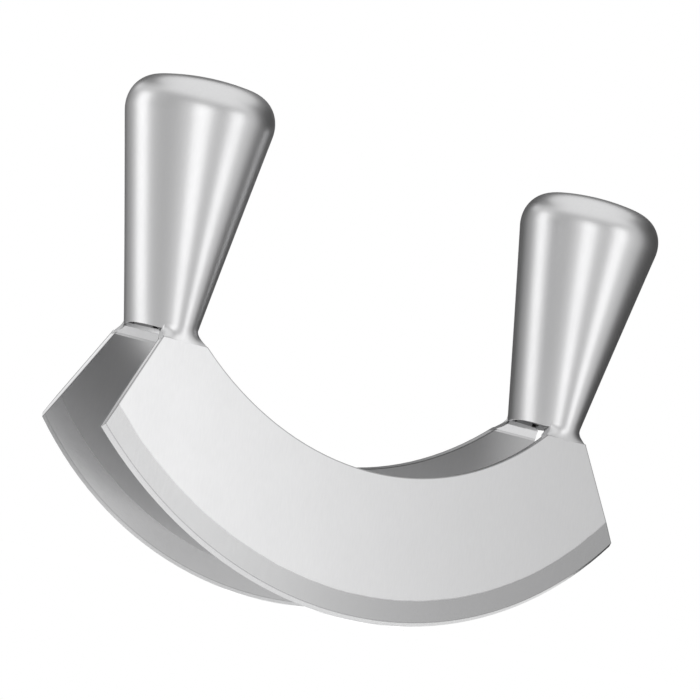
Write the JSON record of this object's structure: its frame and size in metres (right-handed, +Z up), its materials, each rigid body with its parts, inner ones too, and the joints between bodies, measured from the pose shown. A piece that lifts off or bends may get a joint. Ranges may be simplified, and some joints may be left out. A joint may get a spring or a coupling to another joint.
{
  "type": "double-bladed mezzaluna",
  "caption": "Rocking herb and vegetable chopper of stainless steel: splayed curved blades side by side, carried by upright hollow knob handles at their ends.",
  "frame": {"origin": "on the cutting board, midway between the two cutting edges and midway between the two handles", "axes": "+X along the blades towards the right handle, +Y from the front blade to the rear blade, +Z up to the knobs"},
  "size_m": [0.1836, 0.0454, 0.1377],
  "materials": {
    "blade_steel": "fine upright grain, with a plain ground band along the cutting edge",
    "handle_steel": "satin polish",
    "plate_steel": "unpolished sheet",
    "weld_steel": "ground and blended"
  },
  "bodies": {
    "root": {"front_blade": "blade_steel", "rear_blade": "blade_steel", "left_handle_front_shell": "handle_steel", "left_handle_rear_shell": "handle_steel", "right_handle_front_shell": "handle_steel", "right_handle_rear_shell": "handle_steel", "left_handle_base_plate": "plate_steel", "right_handle_base_plate": "plate_steel", "left_front_weld": "weld_steel", "left_rear_weld": "weld_steel", "right_front_weld": "weld_steel", "right_rear_weld": "weld_steel"}
  },
  "joints": []
}
